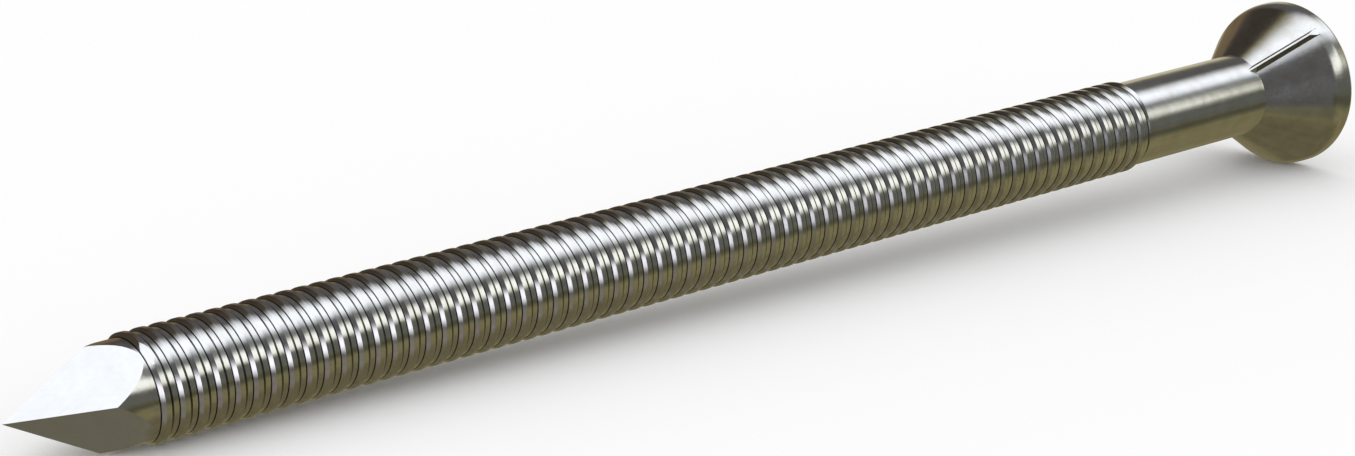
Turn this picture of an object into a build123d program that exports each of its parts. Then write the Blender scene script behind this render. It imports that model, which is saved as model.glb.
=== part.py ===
from build123d import *
import math
import os

# Ring-thread wire nail: one piece of steel wire with a four-facet point, a fine rolled thread, a
# plain neck and an upset conical head. Millimetres. It is drawn along +X from its point, then laid
# down with the head at +X, so that the first thread crest and the head's rim both touch Z = 0.
# The origin is the middle of the nail's outline on the floor.

# Wire and overall length
wire_diameter = 2.87
nail_length = 50.8

# Point: four flat facets, pinched off by the cutting dies, with a small blunt end
facet_count = 4
point_length = 3.60
point_blunt_width = 0.12

# Thread: rolled into the wire, so its crests stand above the wire and its roots lie below it.
# The turns are drawn as closed rings with the thread's own pitch, crest and root.
thread_start = 3.60
thread_pitch = 0.55
thread_rings = 69
thread_crest_diameter = 3.11
thread_root_diameter = 2.79
crest_place = 0.5

# Head: a cone that flares from the wire to a rounded rim with a flat top
head_diameter = 5.86
head_rim_thickness = 0.70
head_cone_height = 2.32
rim_under_radius = 0.45
rim_top_radius = 0.12

# Ribs on the head's cone, where metal was squeezed into the gap between the gripping dies
rib_count = 2
rib_top_width = 0.13
rib_height = 0.22
rib_side_angle = 30.0
rib_end_slope = 0.26
rib_rim_gap = 0.24

# How far the nail is turned about its own length as it lies: one rib and one facet from the top
roll_angle = 37.0

wire_radius = wire_diameter / 2
crest_radius = thread_crest_diameter / 2
root_radius = thread_root_diameter / 2
head_radius = head_diameter / 2
thread_end = thread_start + thread_rings * thread_pitch
rim_start = nail_length - head_rim_thickness
cone_start = rim_start - head_cone_height
cone_angle = math.degrees(math.atan((head_radius - wire_radius) / head_cone_height))
facet_angle = math.degrees(math.atan((wire_radius - point_blunt_width / 2) / point_length))


def thread_outline():
    """Zigzag from root to crest and back, one tooth a pitch, as (along, radius) points."""
    points = [(thread_start, root_radius)]
    for ring in range(thread_rings):
        tooth = thread_start + ring * thread_pitch
        points.append((tooth + crest_place * thread_pitch, crest_radius))
        points.append((tooth + thread_pitch, root_radius))
    return points


def nail_profile():
    """Half section of the whole nail above its centre line, with the rim's two rounded edges."""
    outline = [(0, 0), (0, wire_radius), (thread_start, wire_radius)]
    outline += thread_outline()
    outline += [(thread_end, wire_radius), (cone_start, wire_radius), (rim_start, head_radius)]
    outline += [(nail_length, head_radius), (nail_length, 0)]
    face = make_face(Polyline(*outline, close=True))
    under_edge = face.vertices().sort_by_distance((rim_start, head_radius, 0))[0]
    face = fillet(under_edge, rim_under_radius)
    top_edge = face.vertices().sort_by_distance((nail_length, head_radius, 0))[0]
    return fillet(top_edge, rim_top_radius)


def point_cutter(turn):
    """Block that lies outside one facet of the point, turned about the nail's length."""
    reach = 2 * point_length
    block = Box(2 * reach, reach, reach, align=(Align.CENTER, Align.CENTER, Align.MIN))
    return Rot(X=turn) * Pos(Z=point_blunt_width / 2) * Rot(Y=-facet_angle) * block


def head_rib(turn):
    """Rib that comes out of the wire's surface, runs up the cone and slopes down before the rim."""
    up_the_cone = Vector(1, 0, 0).rotate(Axis.Y, -cone_angle)
    foot_of_cone = (cone_start, 0, wire_radius)
    depth = rib_height
    lead = depth + rib_height / math.tan(math.radians(cone_angle))
    run = head_cone_height / math.cos(math.radians(cone_angle)) - rib_rim_gap
    half_top = rib_top_width / 2
    half_foot = half_top + (rib_height + depth) * math.tan(math.radians(rib_side_angle))
    section = make_face(
        Polyline((-half_foot, -depth), (-half_top, rib_height), (half_top, rib_height),
                 (half_foot, -depth), close=True)
    )
    side = make_face(
        Polyline((-lead, -depth), (-lead, rib_height), (run - rib_end_slope, rib_height), (run, 0),
                 (run, -depth), close=True)
    )
    across = Plane(origin=foot_of_cone, x_dir=(0, 1, 0), z_dir=up_the_cone)
    along = Plane(origin=foot_of_cone, x_dir=up_the_cone, z_dir=(0, -1, 0))
    bar = extrude(across.offset(-lead) * section, lead + run)
    return Rot(X=turn) * (bar & extrude(along * side, half_foot, both=True))


def build_nail():
    nail = revolve(nail_profile(), Axis.X)
    for facet in range(facet_count):
        nail -= point_cutter(facet * 360 / facet_count)
    for rib in range(rib_count):
        nail += head_rib(rib * 360 / rib_count)
    return nail


def lay_down(nail):
    """Roll the nail about its length, tip it until crest and rim touch the floor, and centre it."""
    first_crest = thread_start + crest_place * thread_pitch
    rim_touch = rim_start + rim_under_radius * math.tan(math.radians(cone_angle / 2))
    tip_down = math.degrees(math.atan((head_radius - crest_radius) / (rim_touch - first_crest)))
    laid = Rot(Y=-tip_down) * Rot(X=roll_angle) * nail
    box = laid.bounding_box()
    return Pos(-box.center().X, -box.center().Y, -box.min.Z) * laid


os.makedirs("parts", exist_ok=True)
export_step(lay_down(build_nail()), "parts/nail.step")
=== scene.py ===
# %% [markdown]
# # A ring-thread wire nail, lying on a pale floor
# The nail is one piece of bright drawn steel wire, 2 inches long and about 2.9 mm thick. It has a
# four-facet point, a fine rolled thread, a plain neck, and a conical head with two thin ribs.
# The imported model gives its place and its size. It has closed rings for the thread, so here the nail
# is built again with the true screw thread, in the same place.

import math

import bmesh
import bpy
from mathutils import Matrix, Vector, noise


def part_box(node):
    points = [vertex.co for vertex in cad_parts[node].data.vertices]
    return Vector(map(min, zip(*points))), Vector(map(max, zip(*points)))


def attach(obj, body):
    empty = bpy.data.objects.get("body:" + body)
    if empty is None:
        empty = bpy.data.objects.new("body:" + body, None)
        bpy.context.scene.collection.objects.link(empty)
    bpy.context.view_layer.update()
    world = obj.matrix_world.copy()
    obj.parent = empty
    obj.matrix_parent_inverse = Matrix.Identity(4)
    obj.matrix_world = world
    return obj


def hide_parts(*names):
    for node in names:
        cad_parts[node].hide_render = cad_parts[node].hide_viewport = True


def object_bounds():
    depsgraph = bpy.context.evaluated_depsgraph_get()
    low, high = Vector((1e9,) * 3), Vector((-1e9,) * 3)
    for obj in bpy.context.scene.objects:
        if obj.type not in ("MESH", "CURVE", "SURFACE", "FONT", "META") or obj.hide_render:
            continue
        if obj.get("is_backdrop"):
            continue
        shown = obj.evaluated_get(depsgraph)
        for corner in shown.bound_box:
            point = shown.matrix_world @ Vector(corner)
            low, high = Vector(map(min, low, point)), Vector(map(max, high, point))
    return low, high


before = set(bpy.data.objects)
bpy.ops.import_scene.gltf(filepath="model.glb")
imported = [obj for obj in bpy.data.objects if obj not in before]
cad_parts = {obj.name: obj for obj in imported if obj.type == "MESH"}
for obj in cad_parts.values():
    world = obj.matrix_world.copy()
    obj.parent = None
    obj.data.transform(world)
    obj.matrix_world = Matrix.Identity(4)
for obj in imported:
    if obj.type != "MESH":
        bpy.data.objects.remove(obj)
cad_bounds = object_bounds()
nail_low, nail_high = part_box("nail")
MM = 0.001
print("packed nail, mm:", [round((nail_high[i] - nail_low[i]) / MM, 2) for i in range(3)])

# %% [markdown]
# ## How the nail lies
# The nail is drawn along +X from its point, with its own centre line as the axis, and is then laid
# down. It rests on the rim of its head and on its first thread crest, so the point end is lower by a
# small tip-down angle. An angle around the nail is counted from straight up towards -Y, the side
# that faces the camera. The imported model's own blends at the rim are used only here, to find where
# the head touches down.

# %% Real sizes of the nail, and the move that lays it down
NAIL_LENGTH = 50.8 * MM
WIRE_RADIUS = 1.435 * MM
CREST_RADIUS = 1.553 * MM
HEAD_RADIUS = 2.93 * MM
RIM_THICKNESS = 0.70 * MM
CONE_HEIGHT = 2.32 * MM
RIM_UNDER_RADIUS = 0.45 * MM
RIM_TOP_RADIUS = 0.12 * MM
RIM_START = NAIL_LENGTH - RIM_THICKNESS
CONE_START = RIM_START - CONE_HEIGHT
CONE_ANGLE = math.atan((HEAD_RADIUS - WIRE_RADIUS) / CONE_HEIGHT)

ROLL = math.radians(37)
FIRST_CREST = 3.875 * MM
FIRST_CREST_RADIUS = 1.555 * MM
rim_touch = RIM_START + RIM_UNDER_RADIUS * math.tan(CONE_ANGLE / 2)
TIP_DOWN = math.atan((HEAD_RADIUS - FIRST_CREST_RADIUS) / (rim_touch - FIRST_CREST))

turn_down = Matrix.Rotation(-TIP_DOWN, 4, "Y")
rim_corner = turn_down @ Vector((NAIL_LENGTH, 0, -HEAD_RADIUS + RIM_TOP_RADIUS))
rim_under = turn_down @ Vector((rim_touch, 0, -HEAD_RADIUS))
shift = Vector((nail_high.x - rim_corner.x, 0, nail_low.z - rim_under.z))
LAY_DOWN = Matrix.Translation(shift) @ turn_down
print("tip-down angle:", round(math.degrees(TIP_DOWN), 3), "point end at, mm:",
      [round(v / MM, 3) for v in LAY_DOWN @ Vector((0, 0, 0))])


def around(x, radius, angle):
    """Point at x along the nail, at that radius and angle (0 is up, 90 degrees faces -Y)."""
    return Vector((x, -radius * math.sin(angle), radius * math.cos(angle)))

# %% [markdown]
# ## The rolled thread
# On the real nail the wire turns between two flat dies, whose ridges press a spiral groove into it
# and push the metal up beside the groove. The turns of a spiral could be made with a Screw modifier,
# but then the vertices don't lie along the thread's edges. Here every row of vertices follows the
# spiral: after one turn a row meets the row one pitch further on, so the thread is one seamless
# sheet, with its foot and its edge exactly in the mesh.

# %% Real sizes of the thread
PITCH = 0.5495 * MM
THREAD_ORIGIN = 4.0 * MM
THREAD_TURN = math.radians(20.9)
THREAD_END = 41.66 * MM
FLOOR_RADIUS = 1.472 * MM
COLUMNS = 72
TURN_FROM = -3
TURN_TO = 70
# The thread grows to full height between these two turns, and its groove between these two places
BORN_FROM, BORN_TO = -1.42, -1.12
GROOVE_FROM, GROOVE_TO = THREAD_ORIGIN - 0.55 * MM, THREAD_ORIGIN - 0.15 * MM
DRAWN, ROLLED, UPSET, SHEARED = range(4)
print("thread turns:", round((THREAD_END - THREAD_ORIGIN) / PITCH - BORN_TO, 1),
      "tooth height, mm:", round((CREST_RADIUS - FLOOR_RADIUS) / MM, 3))

# %% [markdown]
# ## One tooth
# The tooth is not a plain triangle. Its crest is flat, and its two sides slope at about 34 and 40
# degrees. A fine seam runs along the foot of the side towards the point, and painted shade darkens the
# seam and the far side. The tooth is written as rows, each with its place along the pitch, its
# height and its painted shade, so that each edge of the thread is one row of vertices.

# %% The tooth's outline
SEAM_DEPTH = 0.024 * MM
SEAM = 0.145
# One tooth, row by row: place along the pitch, height above the groove's floor, and painted shade
TOOTH = [(0.105, 0.00, 0), (0.128, 0.00, 1), (SEAM, 0.00, 1), (0.168, 0.08, 1), (0.190, 0.18, 0),
         (0.332, 0.83, 0), (0.352, 0.92, 0), (0.368, 0.98, 0), (0.388, 1.00, 0), (0.635, 1.00, 0),
         (0.655, 0.96, 0.4), (0.672, 0.87, 1), (0.825, 0.00, 1), (0.852, 0.00, 0)]
print("rows in a tooth:", len(TOOTH))


def smooth(low, high, value):
    """0 below low, 1 above high, and a soft step between them."""
    t = min(max((value - low) / (high - low), 0), 1)
    return t * t * (3 - 2 * t)


def tooth_radius(x, turns, offset, height, born):
    """Radius of the thread: the groove's floor, its seam, and the tooth that rises from it."""
    collar = smooth(GROOVE_FROM, GROOVE_TO, x)
    floor_radius = WIRE_RADIUS + (FLOOR_RADIUS - WIRE_RADIUS) * collar
    seam = SEAM_DEPTH * born if offset == SEAM else 0
    return floor_radius - seam + (CREST_RADIUS - floor_radius) * height * born


def add_thread(bm):
    """Wind the tooth round the wire as one sheet."""
    rows = {}
    painted_crease_shade = bm.verts.layers.float.new("painted_crease_shade")
    samples = len(TOOTH)
    last_row = (TURN_TO - TURN_FROM) * samples
    for row in range(last_row + 1):
        turn, place = divmod(row, samples)
        offset, height, dark = TOOTH[place]
        for column in range(COLUMNS):
            angle = 2 * math.pi * column / COLUMNS
            turns = TURN_FROM + turn + (angle + THREAD_TURN) / (2 * math.pi)
            x = THREAD_ORIGIN + PITCH * (turns + offset)
            born = smooth(BORN_FROM, BORN_TO, turns)
            vert = bm.verts.new(around(x, tooth_radius(x, turns, offset, height, born), angle))
            # Painted shade in the seam and on the tooth's far side
            vert[painted_crease_shade] = dark * born
            rows[row, column] = vert
    for row in range(last_row):
        for column in range(COLUMNS):
            ends = (row, column), (row + 1, column), (row + 1, column + 1), (row, column + 1)
            wound = [(r + samples, 0) if c == COLUMNS else (r, c) for r, c in ends]
            if all(end in rows for end in wound):
                face = bm.faces.new([rows[end] for end in wound])
                face.material_index = ROLLED


def cut(bm, place, outward):
    """Cut off everything beyond the plane."""
    everything = bm.verts[:] + bm.edges[:] + bm.faces[:]
    bmesh.ops.bisect_plane(bm, geom=everything, dist=1e-8, plane_co=place, plane_no=outward,
                           clear_outer=True)


# %% Wind the thread, and cut both its ends square
COLLAR_START = 3.0 * MM
nail_mesh = bmesh.new()
add_thread(nail_mesh)
cut(nail_mesh, (COLLAR_START, 0, 0), (-1, 0, 0))
cut(nail_mesh, (THREAD_END, 0, 0), (1, 0, 0))
print("thread faces:", len(nail_mesh.faces))

# %% [markdown]
# ## The neck, the head and its ribs
# The head is upset: the end of the wire is pushed into a conical die. Metal that is squeezed into the
# gap between the two gripping dies leaves a thin rib on each side of the cone. A boolean could add the
# ribs to a turned head, but here the turned grid makes room for them: beside each rib its columns
# run along the rib's foot and along its top edges, so that the whole head stays in clean quads.

# %% Real sizes of the ribs and of the head's blends
RIB_TOP_HALF = 0.030 * MM
RIB_HEIGHT = 0.155 * MM
RIB_SIDE = math.radians(37)
RIB_RUN_OUT = 0.42 * MM
RIB_ROLL = ROLL + math.radians(1.5)
RIB_FOOT_HALF = RIB_TOP_HALF + RIB_HEIGHT * math.tan(RIB_SIDE)
RIM_BLEND = 1.0 * MM
TOP_BLEND = 0.17 * MM
FOOT_BLEND = 0.03 * MM
ARC_COLUMNS = 52
# The thread ends in a small step, and a fine dark band of painted shadow lies on the neck beside it
STEP_BAND = 0.075 * MM
# Extra rings this close to an edge keep the smooth shading from spreading past it
SUPPORT = 0.02 * MM
RIB_START = CONE_START - RIB_HEIGHT / math.sin(CONE_ANGLE)
RIB_END = CONE_START + CONE_HEIGHT
RIB_DROP = RIB_END - RIB_RUN_OUT * math.cos(CONE_ANGLE) - RIB_HEIGHT * math.sin(CONE_ANGLE)
print("rib width at its foot, mm:", round(2 * RIB_FOOT_HALF / MM, 3), "cone angle:",
      round(math.degrees(CONE_ANGLE), 1))

# %% [markdown]
# ## The head's outline
# Seen from the side, the head is a straight cone that leaves the neck at a crisp foot and turns into
# the rim with a soft blend. Dies give crisp inside corners, and the metal rounds off where it did not
# fill them. The outline is a list of places and radii, and each will be one ring of vertices.

# %% The cone, the rim and the rib's top as lines
def cone_line(x):
    """Radius of the cone's straight side, carried on past both its ends."""
    return WIRE_RADIUS + (x - CONE_START) * math.tan(CONE_ANGLE)


rim_centre = Vector((RIM_START + RIM_BLEND * math.tan(CONE_ANGLE / 2), HEAD_RADIUS - RIM_BLEND))


def turned_radius(x):
    """Radius of the cone, or of the round blend that carries it into the rim."""
    if x <= rim_centre.x - RIM_BLEND * math.sin(CONE_ANGLE):
        return cone_line(x)
    if x <= rim_centre.x:
        return rim_centre.y + math.sqrt(RIM_BLEND ** 2 - (x - rim_centre.x) ** 2)
    return HEAD_RADIUS


def rib_top(x):
    """Distance of the rib's flat top from the nail's centre line."""
    rise = RIB_HEIGHT / math.cos(CONE_ANGLE)
    if x <= RIB_DROP:
        return cone_line(x) + rise
    part = (x - RIB_DROP) / (RIB_END - RIB_DROP)
    start = cone_line(RIB_DROP) + rise
    return start + (turned_radius(RIB_END) - start) * part


def head_profile():
    """Turned outline from the thread's end to the edge of the flat top, as (x, radius)."""
    foot = FOOT_BLEND * math.tan(CONE_ANGLE / 2)
    outline = [(THREAD_END, WIRE_RADIUS), (THREAD_END + STEP_BAND, WIRE_RADIUS),
               (THREAD_END + STEP_BAND + SUPPORT, WIRE_RADIUS),
               (RIB_START - 0.03 * MM, WIRE_RADIUS), (RIB_START, WIRE_RADIUS),
               (CONE_START - foot - SUPPORT, WIRE_RADIUS)]
    for step in range(5):
        bend = CONE_ANGLE * step / 4
        outline.append((CONE_START - foot + FOOT_BLEND * math.sin(bend),
                        WIRE_RADIUS + FOOT_BLEND * (1 - math.cos(bend))))
    cone_from = outline[-1][0] + SUPPORT
    blend_from = rim_centre.x - RIM_BLEND * math.sin(CONE_ANGLE)
    stops = [cone_from, RIB_DROP, RIB_END, blend_from - 0.03 * MM]
    stops += [cone_from + (RIB_DROP - cone_from) * step / 5 for step in range(1, 5)]
    stops += [rim_centre.x - RIM_BLEND * math.sin(CONE_ANGLE * step / 14) for step in range(15)]
    outline += [(x, turned_radius(x)) for x in sorted(stops)]
    top_centre = Vector((NAIL_LENGTH - TOP_BLEND, HEAD_RADIUS - TOP_BLEND))
    outline.append((top_centre.x - SUPPORT, HEAD_RADIUS))
    for step in range(9):
        bend = math.pi / 2 * step / 8
        outline.append((top_centre.x + TOP_BLEND * math.sin(bend),
                        top_centre.y + TOP_BLEND * math.cos(bend)))
    outline.append((NAIL_LENGTH, top_centre.y - 0.03 * MM))
    return outline

# %% [markdown]
# ## The rings, with room for the ribs
# Each ring starts at a rib: its foot, its two top edges and its other foot, then an arc of even
# columns to the next rib. Towards the rim the rib's top sinks into the cone while its foot keeps its
# width, so it runs out as a real one does.

# %% Rings of the head, joined to the thread
def head_ring(x, radius):
    """One ring's points: for each rib its foot, two top edges and foot, then the arc to the next rib."""
    rise = max(rib_top(x) - radius, 0) if RIB_START < x < RIB_END - 1e-7 else 0
    side = rise * math.cos(CONE_ANGLE) * math.tan(RIB_SIDE)
    top_half = RIB_TOP_HALF if x <= RIB_DROP else RIB_FOOT_HALF - side
    foot = RIB_FOOT_HALF if x > RIB_DROP else max(RIB_TOP_HALF + side, RIB_TOP_HALF * 1.4)
    top_half = min(top_half, foot * 0.85)
    foot_angle = math.asin(foot / radius)
    edge_up = radius + rise if rise else math.sqrt(radius ** 2 - top_half ** 2)
    points = []
    for rib in range(2):
        middle = RIB_ROLL + math.pi * rib
        spin = Matrix.Rotation(middle, 4, "X")
        points.append(around(x, radius, middle - foot_angle))
        points.append(spin @ Vector((x, top_half, edge_up)))
        points.append(spin @ Vector((x, -top_half, edge_up)))
        for step in range(ARC_COLUMNS):
            angle = foot_angle + (math.pi - 2 * foot_angle) * step / ARC_COLUMNS
            points.append(around(x, radius, middle + angle))
    return points


def add_head(bm):
    """Join the rings into the neck and head, and close the flat top."""
    painted_crease_shade = bm.verts.layers.float["painted_crease_shade"]
    side = bm.faces.layers.float.new("rib_side")
    rings = [[bm.verts.new(p) for p in head_ring(x, radius)] for x, radius in head_profile()]
    # Painted shadow: the neck's fine dark band beside the thread's step
    for vert in rings[0] + rings[1]:
        vert[painted_crease_shade] = 1
    columns = len(rings[0])
    for ring, after in zip(rings, rings[1:]):
        for i in range(columns):
            j = (i + 1) % columns
            face = bm.faces.new((ring[i], after[i], after[j], ring[j]))
            places = [v.co.x for v in face.verts]
            raised = RIB_START <= min(places) and max(places) <= RIB_END
            # The ribs' two sides, which get grey painted shade
            face[side] = raised and i % (columns // 2) in (0, 2)
            on_head = ring[i].co.x > CONE_START - 0.05 * MM
            face.material_index = UPSET if on_head or face[side] else DRAWN
    middle = bm.verts.new((NAIL_LENGTH, 0, 0))
    for i in range(columns):
        face = bm.faces.new((rings[-1][i], middle, rings[-1][(i + 1) % columns]))
        face.material_index = UPSET


def open_edges(bm, x):
    """The open edges that lie in the plane at x."""
    return [e for e in bm.edges if e.is_boundary and all(abs(v.co.x - x) < 1e-7 for v in e.verts)]


thread_end_edges = open_edges(nail_mesh, THREAD_END)
add_head(nail_mesh)
head_edges = [e for e in open_edges(nail_mesh, THREAD_END) if e not in set(thread_end_edges)]
bmesh.ops.bridge_loops(nail_mesh, edges=thread_end_edges + head_edges)
print("head and thread faces:", len(nail_mesh.faces))

# %% [markdown]
# ## The point
# Two pairs of cutting dies pinch the wire off and leave four flat facets, which meet in a sharp tip.
# The wire's end is first drawn out as a plain tube, and each facet is then one cut through the mesh,
# filled with one flat face. The cuts also trim the first turn of the thread, as the dies do.

# %% Point: a plain tube, then four flat cuts
POINT_LENGTH = 3.57 * MM
TIP_HALF = 0.012 * MM
FACET_ANGLE = math.atan((WIRE_RADIUS - TIP_HALF) / POINT_LENGTH)

collar = bmesh.ops.extrude_edge_only(nail_mesh, edges=open_edges(nail_mesh, COLLAR_START))
for vert in [g for g in collar["geom"] if isinstance(g, bmesh.types.BMVert)]:
    vert.co.x = 0
bmesh.ops.holes_fill(nail_mesh, edges=open_edges(nail_mesh, 0), sides=0)

facets = []
for quarter in range(4):
    angle = ROLL + quarter * math.pi / 2
    outward = around(-math.sin(FACET_ANGLE), math.cos(FACET_ANGLE), angle)
    facets.append((around(0, TIP_HALF, angle), outward))
    cut(nail_mesh, *facets[-1])
    rim = [e for e in nail_mesh.edges if e.is_boundary]
    bmesh.ops.holes_fill(nail_mesh, edges=rim, sides=0)


def in_a_facet(face):
    """True where the whole face lies in the plane of one facet."""
    return any(all(abs((v.co - place).dot(outward)) < 1e-7 for v in face.verts)
               for place, outward in facets)


sheared_area = 0
for face in nail_mesh.faces:
    if in_a_facet(face):
        face.material_index = SHEARED
        sheared_area += face.calc_area()
    elif face.calc_center_median().x < COLLAR_START:
        face.material_index = DRAWN
print("facet angle:", round(math.degrees(FACET_ANGLE), 2), "sheared area, mm2:",
      round(sheared_area / MM ** 2, 2), "open edges left:", sum(e.is_boundary for e in nail_mesh.edges))

# %% [markdown]
# ## Crisp and smooth edges
# Rolled and sheared edges on a new nail are sharp enough to read as lines, while the cone, the rim and
# the crests read as smooth. So the shading is smooth everywhere except at edges that turn by more
# than a set angle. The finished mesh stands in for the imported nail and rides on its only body.

# %% Finish the mesh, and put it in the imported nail's place
CRISP_ANGLE = math.radians(16)
bmesh.ops.remove_doubles(nail_mesh, verts=nail_mesh.verts, dist=2e-7)
bmesh.ops.recalc_face_normals(nail_mesh, faces=nail_mesh.faces)
for face in nail_mesh.faces:
    face.smooth = True
for edge in nail_mesh.edges:
    edge.smooth = len(edge.link_faces) != 2 or edge.calc_face_angle(0) < CRISP_ANGLE
nail_mesh.transform(LAY_DOWN)
mesh = bpy.data.meshes.new("wire_nail")
nail_mesh.to_mesh(mesh)
nail_mesh.free()
wire_nail = bpy.data.objects.new("wire_nail", mesh)
bpy.context.scene.collection.objects.link(wire_nail)
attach(wire_nail, "root")
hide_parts("nail")
print("nail vertices:", len(mesh.vertices), "triangles:", sum(len(p.vertices) - 2 for p in mesh.polygons))

# %% [markdown]
# ## Helpers for materials
# Colours are written as the sRGB codes that a paint program shows, and one function turns them into
# the linear values that Blender works with. One function adds any node, with its settings and links.

# %% Helpers for colours and nodes
def colour(code):
    """Linear colour from an sRGB hex code."""
    parts = [int(code[i:i + 2], 16) / 255 for i in (0, 2, 4)]
    return [c / 12.92 if c <= 0.04045 else ((c + 0.055) / 1.055) ** 2.4 for c in parts] + [1]


def node(tree, kind, links=(), **settings):
    """Add a node, set its inputs and properties, and link its inputs from other nodes' sockets."""
    made = tree.nodes.new(kind)
    for name, value in settings.items():
        if name in made.inputs:
            made.inputs[name].default_value = value
        else:
            setattr(made, name, value)
    for name, socket in links:
        tree.links.new(socket, made.inputs[name])
    return made


def new_material(name):
    """Material with an empty node tree."""
    material = bpy.data.materials.new(name)
    material.use_nodes = True
    material.node_tree.nodes.clear()
    return material, material.node_tree


print("mid grey 808080 is, linear:", round(colour("808080")[0], 3))

# %% [markdown]
# ## Bright low-carbon steel, worked in four ways
# Drawing the wire through polished dies leaves it bright, with faint lines along it. Rolling presses
# the thread smoother still, with its lines round the nail. Upsetting the head dulls it a little in
# soft clouds. Shearing leaves the facets clean and slightly rough. To the eye all four are one metal
# that mirrors its surroundings, and the finish only stretches and softens that mirror image.
# Real drawing lines are about 0.01 mm apart, too fine to show, so they are drawn 0.07 mm apart across
# the nail and 2.5 mm long, and the rolling lines 0.05 mm apart. The soft unevenness is about 0.6 mm
# across and a few thousandths of a millimetre high, and the specks that break up the painted shade are
# about 0.11 mm.

# %% Colours and pattern sizes of the steel
BRIGHT = "D3D3D1"
TARNISHED = "B9B3A9"
# Painted shade: a dark colour in the thread's seams and beside its step, and a grey one on the ribs'
# sides
CREASE_SHADE_PAINT = "35342E"
RIB_SIDE_SHADE_PAINT = "75787A"
LINE_LENGTH = 2.5 * MM
LINE_SPACING = 0.07 * MM
ROLLING_LINE_SPACING = 0.05 * MM
CLOUD_SIZE = 0.6 * MM
SPECK_SIZE = 0.11 * MM
print("bright steel, linear:", [round(c, 3) for c in colour(BRIGHT)[:3]])

# %% [markdown]
# ## One function for the four finishes
# The pattern is placed along the nail's own axis, so the object's coordinates are first moved back to
# where the nail was drawn. Noise stretched along the axis gives drawing lines. Noise that depends only
# on the place along the axis and the distance from it gives lines that run round the nail.
# Metallic is 1 and the IOR keeps its default, as for any metal.

# %% The nail's own axis, and the fine lines
def nail_axis(tree):
    """Place in the nail as it was drawn, along +X, before it was laid down."""
    place = node(tree, "ShaderNodeTexCoord").outputs["Object"]
    level = node(tree, "ShaderNodeMapping", [("Vector", place)], vector_type="POINT",
                 Location=tuple(-v for v in shift))
    straight = node(tree, "ShaderNodeMapping", [("Vector", level.outputs[0])], vector_type="POINT",
                    Rotation=(0, TIP_DOWN, 0))
    return straight.outputs[0]


def distance_from_axis(tree, parts):
    """Distance from the nail's centre line."""
    y_squared = node(tree, "ShaderNodeMath", [(0, parts.outputs["Y"]), (1, parts.outputs["Y"])],
                     operation="MULTIPLY")
    z_squared = node(tree, "ShaderNodeMath", [(0, parts.outputs["Z"]), (1, parts.outputs["Z"])],
                     operation="MULTIPLY")
    squares = node(tree, "ShaderNodeMath", [(0, y_squared.outputs[0]), (1, z_squared.outputs[0])],
                   operation="ADD")
    return node(tree, "ShaderNodeMath", [(0, squares.outputs[0])], operation="SQRT").outputs[0]


def fine_lines(tree, straight, stretch):
    """Lines that the dies leave, along the nail or around it."""
    if stretch == "around":
        parts = node(tree, "ShaderNodeSeparateXYZ", [("Vector", straight)])
        radius = distance_from_axis(tree, parts)
        lined = node(tree, "ShaderNodeCombineXYZ", [("X", parts.outputs["X"]), ("Y", radius)])
        lines_at = node(tree, "ShaderNodeMapping", [("Vector", lined.outputs[0])],
                        Scale=(1 / ROLLING_LINE_SPACING, 1 / ROLLING_LINE_SPACING, 1))
    else:
        lines_at = node(tree, "ShaderNodeMapping", [("Vector", straight)],
                        Scale=(1 / LINE_LENGTH, 1 / LINE_SPACING, 1 / LINE_SPACING))
    lines = node(tree, "ShaderNodeTexNoise", [("Vector", lines_at.outputs[0])], Scale=1.0, Detail=3.0,
                 Roughness=0.6)
    return lines.outputs["Fac"]


print("drawing lines, mm apart:", round(LINE_SPACING / MM, 3))

# %% [markdown]
# ## The steel's colour
# The bare metal is clouded with a slightly warmer, darker tarnish. Over that lies painted shade in two
# places: grey on the sides of the ribs, and dark in the thread's seams and beside its step. Both are
# broken up by small specks. The mesh says where they are, in its two named layers.

# %% Tarnish, and painted shade on the ribs and in the seams
def steel_colour(tree, straight, cloud, dull):
    """Bright steel, its tarnish, and painted shade on the ribs' sides and in the seams."""
    spots = node(tree, "ShaderNodeTexNoise", [("Vector", straight)], Scale=1 / SPECK_SIZE, Detail=2.0)
    mottle = node(tree, "ShaderNodeMapRange", [("Value", cloud)],
                  **{"From Min": 0.38, "From Max": 0.72, "To Min": 0.0, "To Max": dull})
    worn = node(tree, "ShaderNodeMix", [("Factor", mottle.outputs[0])], data_type="RGBA")
    worn.inputs[6].default_value = colour(BRIGHT)
    worn.inputs[7].default_value = colour(TARNISHED)
    broken = node(tree, "ShaderNodeMapRange", [("Value", spots.outputs["Fac"])],
                  **{"From Min": 0.25, "From Max": 0.55, "To Min": 0.72, "To Max": 1.0})
    tint = worn.outputs[2]
    # Painted shade: grey on the ribs' sides, dark in the seams and beside the thread's step
    for layer, shade_paint in (("rib_side", RIB_SIDE_SHADE_PAINT), ("painted_crease_shade", CREASE_SHADE_PAINT)):
        where = node(tree, "ShaderNodeAttribute", attribute_name=layer)
        amount = node(tree, "ShaderNodeMath", [(0, where.outputs["Fac"]), (1, broken.outputs[0])],
                      operation="MULTIPLY")
        shade_mixed = node(tree, "ShaderNodeMix", [("Factor", amount.outputs[0]), (6, tint)],
                      data_type="RGBA")
        shade_mixed.inputs[7].default_value = colour(shade_paint)
        tint = shade_mixed.outputs[2]
    return tint


print("films:", RIB_SIDE_SHADE_PAINT, CREASE_SHADE_PAINT)

# %% [markdown]
# ## The finished steel
# Polished steel has a roughness of about 0.1 to 0.2, and the fine lines vary it a little. Two bumps
# follow: the lines themselves, and broad low waves that make the mirror image waver as it does on
# real wire. Their heights are given for each finish.

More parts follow.
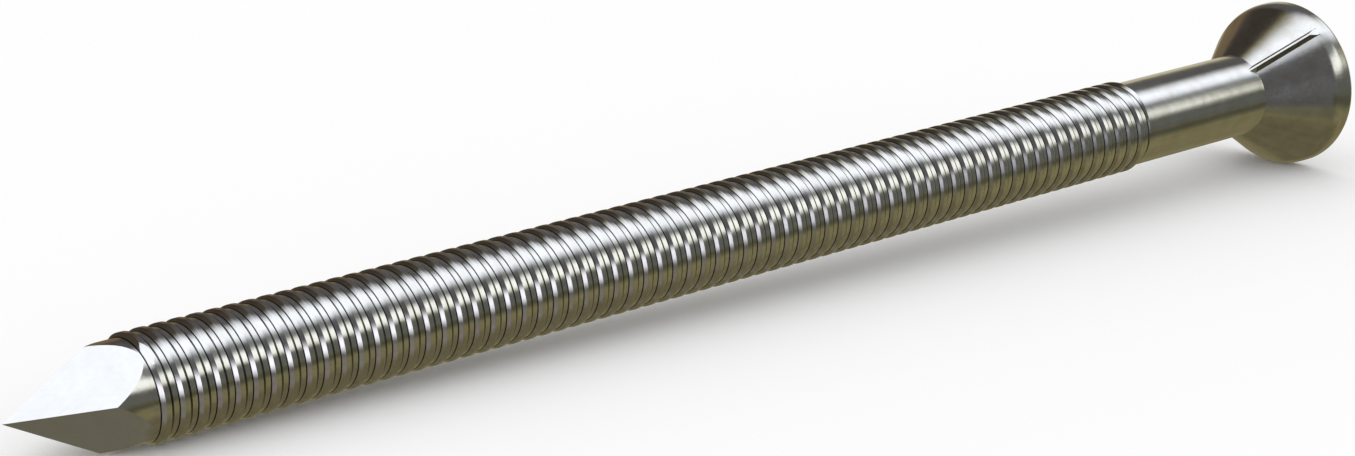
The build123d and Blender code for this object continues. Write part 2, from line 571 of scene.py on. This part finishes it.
# %% Material: bright steel with its lines along or around the nail
def steel_finish(name, stretch, line_height, wave_height, roughness, dull):
    """Bright low-carbon steel whose fine lines run the way that this step of the making drew them."""
    steel, tree = new_material(name)
    straight = nail_axis(tree)
    lines = fine_lines(tree, straight, stretch)
    cloud = node(tree, "ShaderNodeTexNoise", [("Vector", straight)], Scale=1 / CLOUD_SIZE, Detail=4.0,
                 Roughness=0.55).outputs["Fac"]
    gloss = node(tree, "ShaderNodeMapRange", [("Value", lines)],
                 **{"From Min": 0.3, "From Max": 0.7, "To Min": roughness - 0.04,
                    "To Max": roughness + 0.06})
    ridges = node(tree, "ShaderNodeBump", [("Height", lines)], Strength=1.0, Distance=line_height)
    waves = node(tree, "ShaderNodeBump", [("Height", cloud), ("Normal", ridges.outputs[0])],
                 Strength=1.0, Distance=wave_height)
    surface = node(tree, "ShaderNodeBsdfPrincipled",
                   [("Base Color", steel_colour(tree, straight, cloud, dull)),
                    ("Roughness", gloss.outputs[0]), ("Normal", waves.outputs[0])], Metallic=1.0)
    node(tree, "ShaderNodeOutputMaterial", [("Surface", surface.outputs[0])])
    return steel


# %% The four finishes, in the order of the mesh's material numbers
mesh.materials.append(steel_finish("bright_drawn_steel", "along", 0.0006 * MM, 0.004 * MM, 0.15, 0.45))
mesh.materials.append(steel_finish("bright_rolled_steel", "around", 0.0003 * MM, 0.003 * MM, 0.13, 0.35))
mesh.materials.append(steel_finish("bright_upset_steel", "along", 0.0004 * MM, 0.004 * MM, 0.15, 0.6))
mesh.materials.append(steel_finish("sheared_steel", "along", 0.0004 * MM, 0.0012 * MM, 0.18, 0.15))
print("finishes:", [m.name for m in mesh.materials])

# %% [markdown]
# ## The floor and the light
# The floor is a wide card of matt, nearly white paint under a plain white sky of strength 1, so it
# comes out white by its own colour and keeps the nail's soft shadow.

# %% Floor and sky
FLOOR_SIZE = 4.0
floor_paint, tree = new_material("pale_floor_paint")
paint = node(tree, "ShaderNodeBsdfPrincipled", **{"Base Color": colour("FEFEFE"), "Roughness": 0.9,
                                                 "Specular IOR Level": 0.0})
node(tree, "ShaderNodeOutputMaterial", [("Surface", paint.outputs[0])])
bm = bmesh.new()
bmesh.ops.create_grid(bm, x_segments=1, y_segments=1, size=0.5)
bmesh.ops.scale(bm, vec=(FLOOR_SIZE, FLOOR_SIZE, 1), verts=bm.verts)
floor_mesh = bpy.data.meshes.new("floor")
bm.to_mesh(floor_mesh)
bm.free()
floor_mesh.materials.append(floor_paint)
floor = bpy.data.objects.new("floor", floor_mesh)
floor.location.z = nail_low.z
bpy.context.scene.collection.objects.link(floor)
floor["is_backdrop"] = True

world = bpy.data.worlds.new("studio")
bpy.context.scene.world = world
world.use_nodes = True
tree = world.node_tree
tree.nodes.clear()
sky = node(tree, "ShaderNodeBackground", Color=colour("FFFFFF"), Strength=1.0)
node(tree, "ShaderNodeOutputWorld", [("Surface", sky.outputs[0])])
print("floor height, mm:", round(nail_low.z / MM, 3))

# %% [markdown]
# ## The room that the steel mirrors
# Bright steel has little colour of its own. What reads as steel is the image of the place round it,
# and in a plain white studio that image is flat white. So this scene does not keep to studio light
# in the steel's reflections: a ball painted with broad soft patches, like a yard with walls, a window
# and a lamp overhead, stands round the nail. Only mirror reflections see it, so it adds nothing to
# the floor, the background or the shadow. The floor is hidden from those reflections in return.
# It could be done with many small lights and cards. A painted ball keeps every patch in one list.
# Directions are a bearing round the nail and a height above the horizon, both in degrees.

# %% Patches of the room
ROOM_RADIUS = 0.6
# Each patch: name, colour, strength, bearing from and to (0 is +X, 90 faces -Y), height from and to,
# softness
ROOM = [
    ("pale ground behind", "857D5F", 1.0, -72, -22, -38, -9, 12),
    ("dark wall behind", "4E4539", 1.0, -181, -55, -14, 66, 12),
    ("brown wood behind", "7F6E54", 1.0, -74, -48, -10, 20, 14),
    ("black cloth behind", "443D36", 1.0, -110, -62, 22, 62, 14),
    ("slate corner", "646262", 1.0, -64, -12, 20, 78, 15),
    ("pale post", "D4CDB6", 1.0, -47, -27, -9, 16, 11),
    ("pale wall beyond the head", "C9C9C4", 1.1, -26, 20, -8, 19, 12),
    ("slate wall in front", "898C8C", 1.0, -10, 112, 28, 80, 10),
    ("grey corner", "646364", 1.0, 84, 181, -30, 66, 12),
    ("hedge in front", "6A6C65", 1.0, 18, 96, -10, 14, 10),
    ("foot of the hedge", "585848", 1.0, 22, 98, -22, -10, 10),
    ("window", "FDFFFA", 1.5, 35.5, 86, 16.5, 35.5, 12),
    ("small lamp at the point", "F1F0FB", 1.75, 114.5, 165, -15, 10, 18),
    ("damp ground in front", "78755C", 1.0, 74, 115, -40, -24, 8),
    ("grey slab at the point", "8C8680", 1.0, 117, 172, -60, -26, 12),
    ("bench right below", "7B776A", 1.0, -400, 400, -120, -83, 8),
]
GROUND = ("8E8662", "746D53")
LAMP = ("F3F7FF", 1.68)
print("patches in the room:", len(ROOM))

# %% [markdown]
# ## How the patches are mixed
# Each patch is laid over the ones before it with soft edges. The ground darkens towards the spot
# right below, and gentle noise makes the lower half patchy, as earth and grass are. The lamp is one
# long soft panel overhead, and its front edge leans a little along the nail.

# %% What the steel sees in each direction
def soft_band(value, low, high, edge):
    """1 between low and high, falling softly to 0 outside."""
    rise = smooth(low - edge / 2, low + edge / 2, value)
    return rise * (1 - smooth(high - edge / 2, high + edge / 2, value))


def mix(under, over, part):
    """Colour between under and over."""
    return [u + (o - u) * part for u, o in zip(under, over)]


def room_colour(way):
    """What the steel sees in that direction."""
    bearing = math.degrees(math.atan2(-way.y, way.x))
    height = math.degrees(math.asin(max(-1, min(1, way.z))))
    shade = mix(colour(GROUND[0])[:3], colour(GROUND[1])[:3], smooth(31, 56, -height))
    for name, code, strength, left, right, low, high, edge in ROOM:
        part = soft_band(bearing, left, right, edge) * soft_band(height, low, high, edge)
        shade = mix(shade, [c * strength for c in colour(code)[:3]], part)
    patchy = 0.20 * noise.noise(way * 9) + 0.12 * noise.noise(way * 21)
    shade = [c * (1 + patchy * (1 - smooth(10, 40, height))) for c in shade]
    if way.z > 0.02:
        across = -way.y / way.z
        along = way.x / way.z
        front = 0.545 - 0.09 * max(-1, min(1, along))
        part = smooth(-0.45, 0.10, across) * (1 - smooth(front - 0.26, front + 0.26, across))
        part *= (1 - smooth(1.25, 1.7, along)) * smooth(18, 30, height)
        shade = mix(shade, [c * LAMP[1] for c in colour(LAMP[0])[:3]], part)
    return shade


print("right below, linear:", [round(c, 2) for c in room_colour(Vector((0, 0, -1)))])

# %% Paint the ball round the nail
def add_room():
    """Big ball of painted light round the nail, seen only in mirror reflections."""
    bm = bmesh.new()
    bmesh.ops.create_uvsphere(bm, u_segments=200, v_segments=100, radius=ROOM_RADIUS)
    layer = bm.verts.layers.float_color.new("glow")
    for vert in bm.verts:
        vert[layer] = room_colour(vert.co.normalized()) + [1]
    data = bpy.data.meshes.new("room")
    bm.to_mesh(data)
    bm.free()
    room = bpy.data.objects.new("room", data)
    bpy.context.scene.collection.objects.link(room)
    room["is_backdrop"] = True
    material, tree = new_material("painted_light")
    paint = node(tree, "ShaderNodeAttribute", attribute_name="glow")
    glow = node(tree, "ShaderNodeEmission", [("Color", paint.outputs["Color"])], Strength=1.0)
    node(tree, "ShaderNodeOutputMaterial", [("Surface", glow.outputs[0])])
    data.materials.append(material)
    room.visible_camera = False
    room.visible_diffuse = False
    room.visible_shadow = False
    room.visible_transmission = False
    return room


add_room()
floor.visible_glossy = False
print("room radius, m:", ROOM_RADIUS)

# %% [markdown]
# ## The camera
# The camera stands close to the nail, a little above it and to the side of its point, so the point
# looks larger than it would from far away. It aims at a place on the nail's middle.

# %% Camera
AIM = Vector((-3.311, 0, 2.598)) * MM
HEADING = math.radians(39.31)
LOOK_DOWN = math.radians(16.02)
CAMERA_DISTANCE = 83.66 * MM
look = Vector((math.sin(HEADING) * math.cos(LOOK_DOWN), math.cos(HEADING) * math.cos(LOOK_DOWN),
               -math.sin(LOOK_DOWN)))
lens = bpy.data.cameras.new("camera")
lens.lens = 73.87
lens.sensor_width = 36
lens.clip_start = 0.005
camera = bpy.data.objects.new("camera", lens)
camera.location = AIM - look * CAMERA_DISTANCE
camera.rotation_euler = look.to_track_quat("-Z", "Y").to_euler()
bpy.context.scene.collection.objects.link(camera)
bpy.context.scene.camera = camera
bpy.context.scene.view_settings.view_transform = "Standard"
print("camera at, mm:", [round(v / MM, 1) for v in camera.location])

# %% Compare the visual model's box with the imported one, and finish
visual_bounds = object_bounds()
past = max(max(cad_bounds[0][i] - visual_bounds[0][i], visual_bounds[1][i] - cad_bounds[1][i])
           for i in range(3))
print("furthest past the packed box, mm:", round(past / MM, 4))
